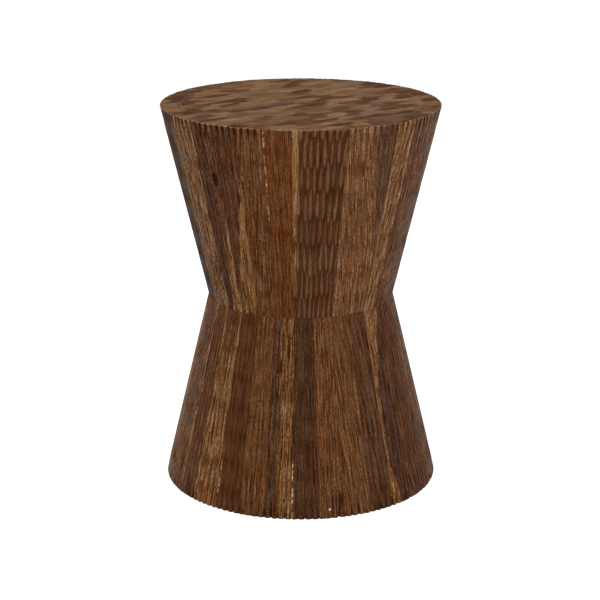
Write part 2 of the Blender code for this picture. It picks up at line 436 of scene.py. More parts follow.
class WoodSettings(bpy.types.PropertyGroup):
    """The colours of the woods, of what is in them and of the fittings"""

    dark_deep: colour_property("Dark, deep", "Deep tone of dark heartwood", (0.057, 0.0212, 0.0081))
    dark_pale: colour_property("Dark, pale", "Pale tone of dark heartwood", (0.093, 0.036, 0.0132))
    brown_deep: colour_property("Brown, deep", "Deep tone of brown heartwood", (0.085, 0.0315, 0.0096))
    brown_pale: colour_property("Brown, pale", "Pale tone of brown heartwood", (0.135, 0.053, 0.0167))
    red_deep: colour_property("Red, deep", "Deep tone of reddish heartwood", (0.073, 0.023, 0.0061))
    red_pale: colour_property("Red, pale", "Pale tone of reddish heartwood", (0.123, 0.041, 0.0107))
    gold_deep: colour_property("Gold, deep", "Deep tone of golden wood", (0.114, 0.047, 0.0148))
    gold_pale: colour_property("Gold, pale", "Pale tone of golden wood", (0.187, 0.081, 0.0258))
    seat_deep: colour_property("Seat, deep", "Deep tone of the seat boards", (0.056, 0.0195, 0.0064))
    seat_pale: colour_property("Seat, pale", "Pale tone of the seat boards", (0.192, 0.105, 0.0465))
    sapwood: colour_property("Sapwood", "Strips of sapwood in a stave", (0.186, 0.083, 0.0280))
    heart: colour_property("Dark heart", "Dark streaks and knots in a stave", (0.051, 0.0195, 0.0088))
    # Colour of the painted highlights on the eased rim and of the painted sheen on the walls
    wear: colour_property("Rubbed edge", "Edges that hands have rubbed pale", (0.350, 0.225, 0.145))
    filler: colour_property("Filler", "Filler that was rubbed into open joints", (0.500, 0.300, 0.125))
    chip: colour_property("Chip", "Bare wood in a chip", (0.700, 0.620, 0.500))
    ply_pale: colour_property("Plywood, pale", "Pale veneers of the plywood", (0.430, 0.300, 0.180))
    ply_dark: colour_property("Plywood, dark", "Dark veneers of the plywood", (0.300, 0.190, 0.100))
    steel: colour_property("Screws", "Zinc plate on the screws", (0.560, 0.550, 0.520))


class StageSettings(bpy.types.PropertyGroup):
    """The studio: floor, lamps and camera"""

    camera_distance: length_property(
        "Camera distance", "Level distance from the stool's axis to the camera", 2.114, 0.5, 8.0
    )
    camera_height: length_property("Camera height", "Height of the camera", 0.855, 0.0, 8.0)
    camera_side: length_property("Camera side", "How far the camera stands to +X", -0.0009, -1.0, 1.0)
    camera_pitch: FloatProperty(
        name="Camera pitch",
        description="How far the camera looks down",
        default=math.radians(16.83),
        subtype="ANGLE",
    )
    lens: FloatProperty(
        name="Lens", description="Focal length in mm on a 36 mm sensor", default=109.87, min=10.0
    )
    overhead_power: lamp_property("Overhead lamp", "Power of the lamp over the stool", 32.0)
    front_power: lamp_property("Front lamps", "Power of each lamp in front", 30.0)
    back_power: lamp_property("Back lamp", "Power of the lamp behind", 14.0)
    room_light: share_property("Room light", "Even light from the white room", 0.42, 0.0, 1.0)
    floor_colour: colour_property("Floor", "Colour of the floor", (0.80, 0.80, 0.80))


@dataclass
class Stave:
    """A stave as the frame has it: the angles of its joints, its heights and its radii."""

    name: str
    first: float
    last: float
    low: float
    high: float
    foot: float
    head: float
    foot_bore: float
    head_bore: float

    def __post_init__(self):
        self.span = self.last - self.first
        self.middle = (self.first + self.last) / 2
        self.thickness = self.head - self.head_bore
        self.topped = self.head > self.foot
        self.look = replace(UPPER_LOOK if self.topped else LOWER_LOOK, **OWN_LOOKS.get(self.name, {}))


@dataclass
class Outside:
    """The rows up a stave's outside from its foot: radius, height and share of end grain of each.

    The first rows are the wall's. An upper stave's last rows turn in over its end.
    """

    radius: np.ndarray
    height: np.ndarray
    end: np.ndarray
    wall_rows: int

    def __post_init__(self):
        steps = np.hypot(np.diff(self.radius), np.diff(self.height))
        self.along = np.concatenate([[0.0], np.cumsum(steps)])
        self.slant = self.along[self.wall_rows - 1]
        self.rise = (self.along / self.slant)[:, None]
        self.past = self.along[self.wall_rows :] - self.slant
        self.fade = 1 - smooth_step(0.0, END_FADE, self.past)[:, None]


@dataclass
class Cuts:
    """The cuts in a stave by row and column: depth, and on the wall their painted light and painted shade.

    flute is each column's place in flutes, mouth the slots along the rim or foot, and swell how near each
    row is to the middle of its row of cuts.
    """

    flute: np.ndarray
    depth: np.ndarray
    bright: np.ndarray
    swell: np.ndarray
    mouth: np.ndarray
    slotted: np.ndarray
    groove_shade: np.ndarray
    lobe_highlight: np.ndarray


def node_points(name):
    """The points of a CAD node."""
    if name not in frame["nodes"]:
        raise RuntimeError(f"the frame has no node {name}")
    return np.array([vert.co for vert in frame["nodes"][name].data.vertices])


def nodes_named(prefix):
    """The names of the CAD nodes that start with a prefix, in order."""
    names = sorted(name for name in frame["nodes"] if name.startswith(prefix))
    if not names:
        raise RuntimeError(f"the frame has no node that starts with {prefix}")
    return names


def measure_stave(name):
    """Read a stave's joints and radii from its CAD node."""
    points = node_points(name)
    height = points[:, 2]
    radius = np.hypot(points[:, 0], points[:, 1])
    middle = math.atan2(points[:, 1].mean(), points[:, 0].mean())
    turn = np.arctan2(points[:, 1], points[:, 0]) - middle
    turn = (turn + math.pi) % (2 * math.pi) - math.pi
    widest = radius.max()
    crests = turn[radius > widest - TINY]
    edge = JOINT_GAP / 2 / widest
    at_foot = radius[height < height.min() + TINY]
    at_head = radius[height > height.max() - TINY]
    return Stave(
        name,
        middle + crests.min() - edge,
        middle + crests.max() + edge,
        height.min(),
        height.max(),
        at_foot.max(),
        at_head.max(),
        at_foot.min(),
        at_head.min(),
    )


def smooth_step(low, high, value):
    """A share that rises softly from 0 at one value to 1 at another."""
    share = np.clip((value - low) / (high - low), 0.0, 1.0)
    return share * share * (3 - 2 * share)


def bell(distance, reach):
    """A share that falls from 1 at no distance, to about a third at its reach."""
    return np.exp(-((distance / reach) ** 2))


def ripple(rise, waves):
    """Waves along a stave added up, each with its size, rate and start."""
    return sum(size * np.sin(rise * rate + start) for size, rate, start in waves)


def quadratic(values, share):
    """A smooth curve through values at the foot, middle and head."""
    foot, centre, head = values
    curve = foot * (1 - share) * (1 - 2 * share) + centre * 4 * share * (1 - share)
    return curve + head * share * (2 * share - 1)


def bend(radius, angle, shift):
    """The places of points at a radius and an angle, moved sideways by a shift."""
    x = radius * np.cos(angle) - shift * np.sin(angle)
    y = radius * np.sin(angle) + shift * np.cos(angle)
    return x, y


def end_edges(shape, end):
    """The boundary edges of a flat blank along one end of its length."""
    return [
        edge
        for edge in shape.edges
        if edge.is_boundary and all(abs(vert.co.y - end) < TINY for vert in edge.verts)
    ]


def turn_in(shape, edges):
    """Extrude boundary edges of a flat blank down to its far side, and give the new edges."""
    made = bmesh.ops.extrude_edge_only(shape, edges=edges)["geom"]
    verts = [item for item in made if isinstance(item, bmesh.types.BMVert)]
    bmesh.ops.translate(shape, verts=verts, vec=(0, 0, -1))
    return [item for item in made if isinstance(item, bmesh.types.BMEdge)]


def flat_grid(columns, rows):
    """A unit grid with a whole number of columns and rows."""
    shape = bmesh.new()
    bmesh.ops.create_grid(shape, x_segments=columns, y_segments=rows, size=0.5)
    bmesh.ops.translate(shape, verts=shape.verts, vec=(0.5, 0.5, 0))
    return shape


def close_blank(name, shape):
    """Fill what is open in a flat blank, with even triangles, and turn its faces outwards.

    Gives its mesh, the flat place of each point, and which points are on the far side.
    """
    open_edges = [edge for edge in shape.edges if edge.is_boundary]
    filled = bmesh.ops.holes_fill(shape, edges=open_edges, sides=0)["faces"]
    bmesh.ops.triangulate(shape, faces=filled, quad_method="BEAUTY", ngon_method="BEAUTY")
    bmesh.ops.recalc_face_normals(shape, faces=shape.faces)
    mesh = bpy.data.meshes.new(name)
    shape.to_mesh(mesh)
    shape.free()
    flat = np.empty(len(mesh.vertices) * 3)
    mesh.vertices.foreach_get("co", flat)
    flat = flat.reshape(-1, 3)
    return mesh, flat, flat[:, 2] < -0.5


def place_points(mesh, x, y, z):
    """Move a flat mesh's points to their places and shade it."""
    points = np.stack([x, y, z], axis=-1)
    mesh.vertices.foreach_set("co", points.astype(np.float32).ravel())
    mesh.shade_smooth()
    mesh.set_sharp_from_angle(angle=SHARP_EDGE)
    mesh.update()


def mark_points(mesh, marks):
    """Keep a value of each kind for each point, for the finish to read."""
    for kind, values in marks.items():
        layer = mesh.attributes.new(kind, "FLOAT", "POINT")
        layer.data.foreach_set("value", np.asarray(values, np.float32).ravel())


def mark_grain(mesh, across, along, through):
    """Keep each point's place in its own board: across, along and through the grain."""
    places = np.stack([across, along, through], axis=-1)
    layer = mesh.attributes.new("grain", "FLOAT_VECTOR", "POINT")
    layer.data.foreach_set("vector", places.astype(np.float32).ravel())


def add_piece(node, ending, mesh, finish):
    """A finished piece that stands for a CAD node."""
    piece = bpy.data.objects.new(f"{node}_{ending}", mesh)
    mesh.materials.append(finish)
    bpy.context.scene.collection.objects.link(piece)
    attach(piece, BODY)
    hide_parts(node)


def lay_scoops(seat):
    """The scoops over the seat, in slanted rows: place, direction, half sizes, depth and tone of each."""
    rng = np.random.default_rng(seat.seed)
    reach = CAD_BOX[1].x + seat.scoop_length
    step_along = seat.scoop_length * SCOOP_STEP_ALONG
    step_across = seat.scoop_width * SCOOP_STEP_ACROSS
    scoops = []
    rows = int(reach / step_across)
    columns = int(reach / step_along)
    for row in range(-rows, rows + 1):
        for column in range(-columns, columns + 1):
            along = (column + 0.5 * (row % 2) + rng.uniform(-0.28, 0.28)) * step_along
            across = (row + rng.uniform(-0.30, 0.30)) * step_across
            turn = seat.direction + rng.normal(0.0, 0.10)
            half_length = seat.scoop_length / 2 * rng.uniform(0.8, 1.25)
            half_width = seat.scoop_width / 2 * rng.uniform(0.8, 1.2)
            deep = seat.scoop_depth * rng.uniform(0.65, 1.15)
            dark = rng.uniform() < DARK_SCOOPS
            tone = rng.uniform(-1.1, -0.4) if dark else rng.uniform(-0.2, 1.0)
            x, y = bend(along, seat.direction, across)
            scoops.append((x, y, turn, half_length, half_width, deep, tone))
    return scoops


def scoop_out(x, y, scoops):
    """Depth, tone with painted light and shade, and nearness to a ridge of the scooped top at each point.
    """
    best = np.zeros_like(x)
    second = np.full_like(x, -1.0)
    tone_and_shade = np.zeros_like(x)
    weight = np.full_like(x, TINY)
    for centre_x, centre_y, turn, half_length, half_width, deep, tone in scoops:
        along, across = bend(x - centre_x, -turn, y - centre_y)
        cut = deep * (1 - (along / half_length) ** 2 - (across / half_width) ** 2)
        second = np.maximum(second, np.minimum(best, cut))
        # Painted light and shade across each scoop, lighter towards one side and one end
        shade_grade = SCOOP_SHADE_GRADE * (across / half_width + 0.6 * along / half_length)
        share = np.exp(np.clip(cut, -1.0, None) / SCOOP_BLEND) * (cut > 0)
        tone_and_shade += share * (tone + shade_grade)
        weight += share
        best = np.maximum(best, cut)
    ridge = np.exp(-(best - np.maximum(second, 0.0)) / RIDGE_DROP)
    return best, tone_and_shade / weight, ridge


def cut_swell(share):
    """How wide a cut is along its length, over its widest: pointed at its top and round at its foot."""
    tail = np.clip((share - CUT_WIDEST) / (1 - CUT_WIDEST), 0.0, 1.0)
    return np.minimum(share / CUT_WIDEST, 1.0) ** CUT_POINT * np.sqrt(1 - tail**2) + TINY


def gouge_out(drop, pitch, flutes, look, carving, rng):
    """Cut rows of gouge marks down a stave.

    drop is each row's distance below the stave's head and pitch its flute width there. Gives the depth
    of the cuts and the painted light on their floors for each row and column, and how near each row is to
    the middle of its row of cuts.
    """
    strength = look.cut_strength * rng.uniform(*SMALL_SPREAD)
    width = carving.spread if look.contrast > 0 else carving.spread * NARROW_CUT
    columns = np.linspace(0, flutes, flutes * COLUMNS_PER_FLUTE + 1)
    depth = np.zeros((len(drop), len(columns)))
    bright = np.zeros_like(depth)
    start = -rng.uniform(0.1, 0.9) * carving.row_length
    rows = math.ceil((drop.max() - start) / carving.row_length)
    first = rng.uniform(0.0, 1.0)
    for row in range(rows):
        phase = (first + 0.5 * row + rng.normal(0.0, 0.08)) % 1.0
        row_light = rng.uniform(0.75, 1.1)
        for column in range(-1, flutes + 1):
            centre = column + phase + rng.normal(0.0, 0.07)
            top = start + (row + rng.normal(0.0, 0.07)) * carving.row_length
            reach = carving.row_length * carving.reach * look.cut_length * rng.uniform(0.85, 1.08)
            deep = carving.cut_depth * strength * rng.uniform(0.75, 1.15)
            spread = width / 2 * rng.uniform(0.80, 1.15)
            tilt = look.lean + rng.normal(0.0, 0.02)
            light = row_light * rng.uniform(0.7, 1.1)
            hit_rows = np.flatnonzero((drop > top) & (drop < top + reach))
            hit_columns = np.flatnonzero(np.abs(columns - centre) < CUT_SEARCH)
            if not len(hit_rows) or not len(hit_columns):
                continue
            down = drop[hit_rows][:, None] - top
            across = pitch[hit_rows][:, None]
            swell = cut_swell(down / reach)
            aside = (columns[hit_columns][None, :] - centre) * across - tilt * (down - reach / 2)
            bowl = 1 - (aside / (spread * across * swell)) ** 2
            block = np.ix_(hit_rows, hit_columns)
            depth[block] = np.maximum(depth[block], deep * bowl * swell)
            # Painted light on the cut's floor
            bright[block] = np.maximum(bright[block], light * smooth_step(0.0, 0.5, bowl))
    swell = np.sin(math.pi * (drop - start) / carving.row_length) ** 2
    return depth, bright, swell[:, None]


def wall_path(stave, carving):
    """The rows up a stave's outside, from its foot to its head."""
    slant = math.hypot(stave.high - stave.low, stave.head - stave.foot)
    eased = carving.rim_ease / slant
    reach = WAIST_FIT / slant
    steps = round(slant / WALL_ROW)
    share = np.linspace(-reach, 1.0 - eased, steps)
    if not stave.topped:
        share = np.linspace(eased, 1.0 + reach, steps)
    radius = stave.foot + share * (stave.head - stave.foot)
    height = stave.low + share * (stave.high - stave.low)
    if not stave.topped:
        radius = np.concatenate([[stave.foot - carving.rim_ease / 2], radius])
        height = np.concatenate([[stave.low], height])
        return Outside(radius, height, np.zeros(steps + 1), steps + 1)
    turned = np.arange(1, EASED_ROWS + 1) / EASED_ROWS
    edge_radius = stave.head - carving.rim_ease * turned**2
    edge_height = stave.high - carving.rim_ease * (1 - turned) ** 2
    end_rows = round(stave.thickness / END_ROW)
    inward = np.linspace(stave.head - carving.rim_ease, stave.head_bore, end_rows)[1:]
    radius = np.concatenate([radius, edge_radius, inward])
    height = np.concatenate([height, edge_height, np.full(len(inward), stave.high)])
    end = np.concatenate([np.zeros(steps), turned, np.ones(len(inward))])
    return Outside(radius, height, end, steps)


def cut_wall(stave, outside, width, flutes, carving, rng):
    """Gouge and flute a stave's wall, and cut slots between the flutes at its rim or foot."""
    drop = outside.slant - outside.along[: outside.wall_rows]
    pitch = outside.radius[: outside.wall_rows] * stave.span / flutes
    gouged, bright, swell = gouge_out(drop, pitch, flutes, stave.look, carving, rng)
    flute = width * flutes
    nearest = np.rint(flute)
    aside = np.abs(flute - nearest) * pitch.max()
    smallest = SMALLEST_RIM_SLOT if stave.topped else SMALLEST_FOOT_SLOT
    size = rng.uniform(smallest, 1.0, flutes + 1)[nearest.astype(int)]
    mouth = size * bell(aside, MOUTH_SLOT_WIDTH)
    from_mouth = drop if stave.topped else outside.slant - drop
    near_mouth = bell(from_mouth, SLOT_REACH)[:, None]
    # How deep the slots and grooves cut, and how dark their painted shade is
    slotted = stave.look.slot * mouth * near_mouth
    groove_shade = stave.look.groove_shade * size * bell(aside, SLOT_WIDTH) * (0.4 + 0.6 * swell)
    full = (pitch / pitch.max())[:, None] * (0.5 + 0.5 * swell)
    hollow = carving.flute_depth * np.sin(math.pi * flute) ** 2 * full
    depth = gouged + hollow + carving.slot_depth * np.maximum(slotted, 0.5 * groove_shade)
    depth = np.concatenate([depth, outside.fade * depth[-1]])
    # Painted highlight on the ends of the flutes between the slots at the rim
    lobe_highlight = LOBE_LIGHT * stave.topped * (1 - mouth) * near_mouth
    return Cuts(flute, depth, bright, swell, mouth, slotted, groove_shade, lobe_highlight)


def seeded_streaks(rng):
    """A strip of sapwood or dark heart for a stave that the front doesn't show."""
    draw = rng.uniform()
    edge = rng.uniform(0.10, 0.35, 3)
    if draw < 0.18:
        return (("sap", (0.0, 0.0, 0.0), tuple(edge), (0.6, 0.7, 0.6)),)
    if draw < 0.36:
        return (("heart", tuple(1 - edge), (1.0, 1.0, 1.0), (0.7, 0.8, 0.7)),)
    return ()


def fill_joint(figure, place, rise, low, high, amount):
    """Rub broken filler into part of a stave's first joint. place is each point's distance from it."""
    run = smooth_step(low - FILLER_END, low + FILLER_END, rise)
    run = run * (1 - smooth_step(high - FILLER_END, high + FILLER_END, rise))
    line = run * amount * (1 - smooth_step(*FILLER_EDGE, place + ripple(rise, FILLER_WANDER)))
    broken = ripple(rise, FILLER_BREAKS)
    filler = line * (0.10 + 0.90 * smooth_step(-0.6, 0.9, broken))
    crumbs = 0.15 * line * smooth_step(0.9, 1.6, broken)
    figure["filler"] = np.maximum(figure["filler"], filler)
    figure["chip"] = np.maximum(figure["chip"], crumbs)


def stave_figure(stave, outside, width, rng):
    """Shares of sapwood, dark heart, filler, knot and chip in a stave, by row and column."""
    rise = outside.rise
    none = np.zeros(np.broadcast(width, rise).shape)
    figure = dict.fromkeys(("sap", "heart", "filler", "knot", "chip"), none)
    arc = stave.span * (stave.foot + stave.head) / 2
    streaks = STREAKS.get(stave.name, ())
    if not streaks and stave.name not in PLAIN_STAVES:
        streaks = seeded_streaks(rng)
    waves = (
        (SLOW_WAVER, rng.uniform(9, 15), rng.uniform(0, 6)),
        (QUICK_WAVER, rng.uniform(30, 45), rng.uniform(0, 6)),
    )
    waver = ripple(rise, waves) / arc
    soft = STREAK_EDGE / arc
    share = np.clip(rise, 0, 1)
    for kind, left, right, strength in streaks:
        streak = none + quadratic(strength, share)
        if max(left) > 0.0:
            streak = streak * smooth_step(-soft, soft, width - quadratic(left, share) + waver)
        if min(right) < 1.0:
            streak = streak * smooth_step(-soft, soft, quadratic(right, share) + waver - width)
        figure[kind] = np.maximum(figure[kind], streak)
    if stave.name in KNOTS:
        knot_width, knot_rise, radius, black = KNOTS[stave.name]
        aside = (width - knot_width) * arc * KNOT_STRETCH[0]
        away = np.hypot(aside, (rise - knot_rise) * outside.slant * KNOT_STRETCH[1])
        figure["knot"] = black * (1 - smooth_step(0.3, 1.3, away / radius))
        figure["heart"] = np.maximum(figure["heart"], figure["knot"])
    if stave.name in CHIPS:
        chip_width, chip_rise, radius = CHIPS[stave.name]
        aside = (width - chip_width) * arc * CHIP_STRETCH[0]
        away = np.hypot(aside, (rise - chip_rise) * outside.slant * CHIP_STRETCH[1])
        figure["chip"] = 1 - smooth_step(0.6, 1.1, away / radius)
    if stave.name in FILLED_JOINTS:
        fill_joint(figure, width * arc, rise, *FILLED_JOINTS[stave.name])
    return figure


def reed_shade(flute, rise):
    """From 1 on the line between two flutes to -1 in the middle of a flute, clearer in some places."""
    wander = REED_WANDER * np.sin(7.0 * rise + 0.9 * flute)
    clearness = 0.7 + 0.3 * np.sin(11.0 * rise + 2.1 * flute)
    return clearness * np.cos(2 * math.pi * (flute + wander))


def shade_stave(stave, outside, cuts, figure):
    """Painted light and shade of the carving, and dark knots: below 0 in slots and knots, above 0 in lit
    cuts.
    """
    look = stave.look
    wall = slice(outside.wall_rows)
    # Painted light on the floors of the cuts, less in sapwood
    lit = look.contrast * (cuts.bright - CUT_GROUND) * (1 - CUT_IN_SAP * figure["sap"][wall])
    # Painted rim highlight, and painted shade in slots, grooves, between rows of cuts and between flutes
    relief = lit + cuts.lobe_highlight - np.maximum(SLOT_SHADE * cuts.slotted, cuts.groove_shade)
    relief = relief - figure["knot"][wall] - look.row_shade * (1 - cuts.swell) ** 2
    relief = relief - look.reed_line_shade * reed_shade(cuts.flute, outside.rise[wall])
    # Painted shade along each joint, where the gap is closed
    relief[:, [0, -1]] -= JOINT_SHADE
    on_end = outside.fade**4 * relief[-1]
    # Painted shade along the rim's far edge, on the staves at the back
    if math.sin(stave.middle) > DARK_RIM:
        on_end = on_end - BACK_RIM_SHADE * (1 - smooth_step(0.0, BACK_SHADE_REACH, outside.past))[:, None]
    return np.concatenate([relief, on_end])


def highlight_stave(stave, outside, cuts, figure, flutes, rng):
    """Painted highlight along the eased edge between its slots, and painted sheen on the wall, at each
    point.
    """
    wall = slice(outside.wall_rows)
    eased = np.zeros_like(outside.rise)
    if stave.topped:
        eased[outside.wall_rows : outside.wall_rows + EASED_ROWS] = 1.0
    # Painted highlight along the eased edge, broken at the slots, then painted sheen over the wall
    rubbed = rng.uniform(FAINTEST_RIM_HIGHLIGHT, 1.0, flutes + 1)[cuts.flute.astype(int)]
    wear = eased * rubbed * (1 - np.minimum(1.0, 1.3 * cuts.mouth))
    shine = CUT_SHEEN * max(0.0, stave.look.contrast - PLAIN_CONTRAST) * cuts.bright
    sheen = stave.look.sheen + shine * (1 - figure["sap"][wall])
    wear[wall] = np.maximum(wear[wall], sheen)
    return wear


def stave_blank(stave, columns, rows):
    """A stave's closed flat mesh, with the column and row of each point, and which are on the inside."""
    shape = flat_grid(columns, rows)
    foot = turn_in(shape, end_edges(shape, 0.0))
    head = end_edges(shape, 1.0)
    if not stave.topped:
        head = turn_in(shape, head)
    bmesh.ops.bridge_loops(shape, edges=foot + head)
    mesh, flat, inside = close_blank(stave.name, shape)
    column = np.rint(flat[:, 0] * columns).astype(int)
    row = np.rint(flat[:, 1] * rows).astype(int)
    return mesh, column, row, inside


def carve_stave(name, carving, scoops, finish, end_finish):
    """One stave: a flat blank, closed, gouged and bent round the axis. An upper one ends in the seat."""
    stave = measure_stave(name)
    cone, number = name.split("_stave_")
    rng = np.random.default_rng([carving.seed, len(cone), ord(cone[0]), int(number)])
    flutes = max(1, round(stave.span * carving.flutes_round / (2 * math.pi)))
    columns = flutes * COLUMNS_PER_FLUTE
    width = np.linspace(0.0, 1.0, columns + 1)[None, :]
    outside = wall_path(stave, carving)
    cuts = cut_wall(stave, outside, width, flutes, carving, rng)
    figure = stave_figure(stave, outside, width, rng)
    relief = shade_stave(stave, outside, cuts, figure)
    wear = highlight_stave(stave, outside, cuts, figure, flutes, rng)

    angle = stave.first + width * stave.span
    shift = np.zeros_like(angle)
    shift[0, 0] = CLOSED_GAP / 2
    shift[0, -1] = -CLOSED_GAP / 2
    x, y = bend(outside.radius[:, None] - cuts.depth, angle, shift)
    sunk, scoop_tone_and_shade, ridge = scoop_out(x, y, scoops)
    end = outside.end[:, None]
    z = outside.height[:, None] - sunk * end
    if not stave.topped:
        z[: len(NICK_ROWS)] += np.outer(NICK_ROWS, carving.foot_nick * cuts.mouth)

    mesh, column, row, inside = stave_blank(stave, columns, len(outside.radius) - 1)
    bore = np.where(row == 0, stave.foot_bore, stave.head_bore)
    lining_x, lining_y = bend(bore, angle[0, column], shift[0, column])
    lining_z = np.where(row == 0, stave.low, stave.high)
    place_points(
        mesh,
        np.where(inside, lining_x, x[row, column]),
        np.where(inside, lining_y, y[row, column]),
        np.where(inside, lining_z, z[row, column]),
    )

    across = (angle - stave.middle) * outside.radius[:, None] + stave.look.lean * outside.along[:, None]
    through = -cuts.depth[row, column] - stave.thickness * inside
    offset = rng.uniform(-5.0, 5.0, 3)
    mark_grain(mesh, across[row, column] + offset[0], outside.along[row] + offset[1], offset[2] + through)
    drawn_tone = rng.uniform(*SMALL_SPREAD)
    tone = stave.look.tone or drawn_tone
    end_tone = rng.uniform(*END_TONES)
    outer = ~inside
    ended = outside.end[row]
    sap = figure["sap"][row, column]
    marks = {
        # Painted light and shade of the carving, and dark knots
        "relief": (relief - RIDGE_SHADE * ridge * end)[row, column] * outer,
        # Painted highlights and painted sheen
        "wear": wear[row, column] * outer,
        "sap": sap * (1 - ended),
        "heart": figure["heart"][row, column],
        "filler": figure["filler"][row, column] * outer * (1 - ended),
        "chip": figure["chip"][row, column] * outer,
        "scoop": scoop_tone_and_shade[row, column] * ended * outer,
        "tone": tone + (end_tone - tone) * ended,
        "fibre": np.maximum(stave.look.fibre, SAP_FIBRE * sap) * (1 - ended) + SEAT_FIBRE * ended,
    }
    mark_points(mesh, marks)
    add_piece(name, "carved", mesh, finish)
    if stave.topped:
        mesh.materials.append(end_finish)
        on_end = (row > outside.wall_rows) & outer
        for face in mesh.polygons:
            face.material_index = int(all(on_end[corner] for corner in face.vertices))


def scoop_board(name, across, seat, scoops, finish):
    """One seat board: a flat grid fitted between its joints and the round edge, scooped and closed."""
    points = node_points(name)
    grain = np.array([across[1], -across[0]])
    offset = points[:, :2] @ across
    high = points[:, 2].max()
    low = points[:, 2].min()
    radius = np.hypot(points[:, 0], points[:, 1])
    rim = radius[points[:, 2] > high - TINY].max()
    under = radius[points[:, 2] < low + TINY].max()
    rows = round((offset.max() - offset.min()) / BOARD_STEP)
    columns = round(2 * rim / BOARD_STEP)

    shape = flat_grid(columns, rows)
    turn_in(shape, [edge for edge in shape.edges if edge.is_boundary])
    mesh, flat, below = close_blank(name, shape)
    edge = np.where(below, under, rim)
    first = np.maximum(offset.min(), -edge * BOARD_TIP)
    last = np.minimum(offset.max(), edge * BOARD_TIP)
    sideways = first + flat[:, 1] * (last - first)
    lengthways = (2 * flat[:, 0] - 1) * np.sqrt(edge**2 - sideways**2)
    x = lengthways * grain[0] + sideways * across[0]
    y = lengthways * grain[1] + sideways * across[1]
    sunk, scoop_tone_and_shade, ridge = scoop_out(x, y, scoops)
    place_points(mesh, x, y, np.where(below, low, high - sunk))

    rng = np.random.default_rng([seat.seed, int(name[-1])])
    shift = rng.uniform(-5.0, 5.0, 3)
    mark_grain(mesh, sideways + shift[0], lengthways + shift[1], shift[2] - sunk - (high - low) * below)
    seam = smooth_step(rim - SEAM_EDGE[0], rim - SEAM_EDGE[1], np.hypot(x, y))
    seam = seam * smooth_step(*SEAM_SIDES, np.cos(2 * np.arctan2(y, x)))
    top = ~below
    marks = dict.fromkeys(("wear", "sap", "heart", "chip"), np.zeros(len(flat)))
    # Painted shade on the ridges between scoops
    marks["relief"] = -RIDGE_SHADE * ridge * top
    # A pale line in the seam near the two sides, in the filler's colour
    marks["filler"] = SEAM_PALE_LINE * seam * top
    marks["scoop"] = scoop_tone_and_shade * top
    marks["tone"] = np.full(len(flat), rng.uniform(0.94, 1.06))
    marks["fibre"] = np.full(len(flat), SEAT_FIBRE)
    mark_points(mesh, marks)
    add_piece(name, "scooped", mesh, finish)


def add_node(tree, kind, values, **settings):
    """A shader node with its settings, and with values or links on its inputs."""
    node = tree.nodes.new(kind)
    for name, value in settings.items():
        setattr(node, name, value)
    for key, value in values.items():
        if isinstance(value, bpy.types.NodeSocket):
            tree.links.new(value, node.inputs[key])
        else:
            node.inputs[key].default_value = value
    return node


def read_mark(tree, name, output="Fac"):
    """What a piece marks on its points."""
    return add_node(tree, "ShaderNodeAttribute", {}, attribute_name=name).outputs[output]


def math_node(tree, operation, first, second):
    """A value worked out from two others."""
    return add_node(tree, "ShaderNodeMath", {0: first, 1: second}, operation=operation).outputs[0]


def times(tree, first, second):
    """The product of two values."""
    return math_node(tree, "MULTIPLY", first, second)


def plus(tree, first, second):
    """The sum of two values."""
    return math_node(tree, "ADD", first, second)


def tinted(tree, colour, tint):
    """A colour times a tint, channel by channel."""
    return add_node(tree, "ShaderNodeVectorMath", {0: colour, 1: tint}, operation="MULTIPLY").outputs[0]


def banded(tree, value, name):
    """A value spread over one of the bands, and held at its ends."""
    low, high, at_low, at_high = BANDS[name]
    sizes = {"Value": value, "From Min": low, "From Max": high, "To Min": at_low, "To Max": at_high}
    return add_node(tree, "ShaderNodeMapRange", sizes).outputs["Result"]


def noise(tree, place, name):
    """One of the noises, with its own scale across, along and through the grain."""
    scale, detail, distortion = NOISES[name]
    place = tinted(tree, place, scale)
    inputs = {"Vector": place, "Scale": 1.0, "Detail": detail, "Distortion": distortion}
    return add_node(tree, "ShaderNodeTexNoise", inputs).outputs["Fac"]


def blend(tree, share, first, second):
    """A colour part of the way from one to another."""
    first = first if isinstance(first, bpy.types.NodeSocket) else (*first, 1.0)
    second = second if isinstance(second, bpy.types.NodeSocket) else (*second, 1.0)
    inputs = {0: share, 6: first, 7: second}
    return add_node(tree, "ShaderNodeMix", inputs, data_type="RGBA").outputs[2]


def combined(tree, red, green, blue):
    """A tint from its three channels."""
    return add_node(tree, "ShaderNodeCombineXYZ", {0: red, 1: green, 2: blue}).outputs[0]


def shaded_colour(tree, colour, shade):
    """A colour under a shade that turns redder as it darkens and yellower as it lightens."""
    channels = [math_node(tree, "POWER", shade, exponent) for exponent in SHADE_POWERS]
    return tinted(tree, colour, combined(tree, *channels))


def strayed_colour(tree, colour, grain, scooped):
    """A colour that strays towards red in some places and towards yellow grey in others."""
    drift = noise(tree, grain, "seat_stray" if scooped else "stave_stray")
    stray = combined(tree, 1.0, banded(tree, drift, "green"), banded(tree, drift, "blue"))
    return tinted(tree, colour, stray)


def new_finish(name):
    """An empty finish, with its node tree and shader."""
    finish = bpy.data.materials.new(name)
    finish.use_nodes = True
    return finish, finish.node_tree, finish.node_tree.nodes["Principled BSDF"]


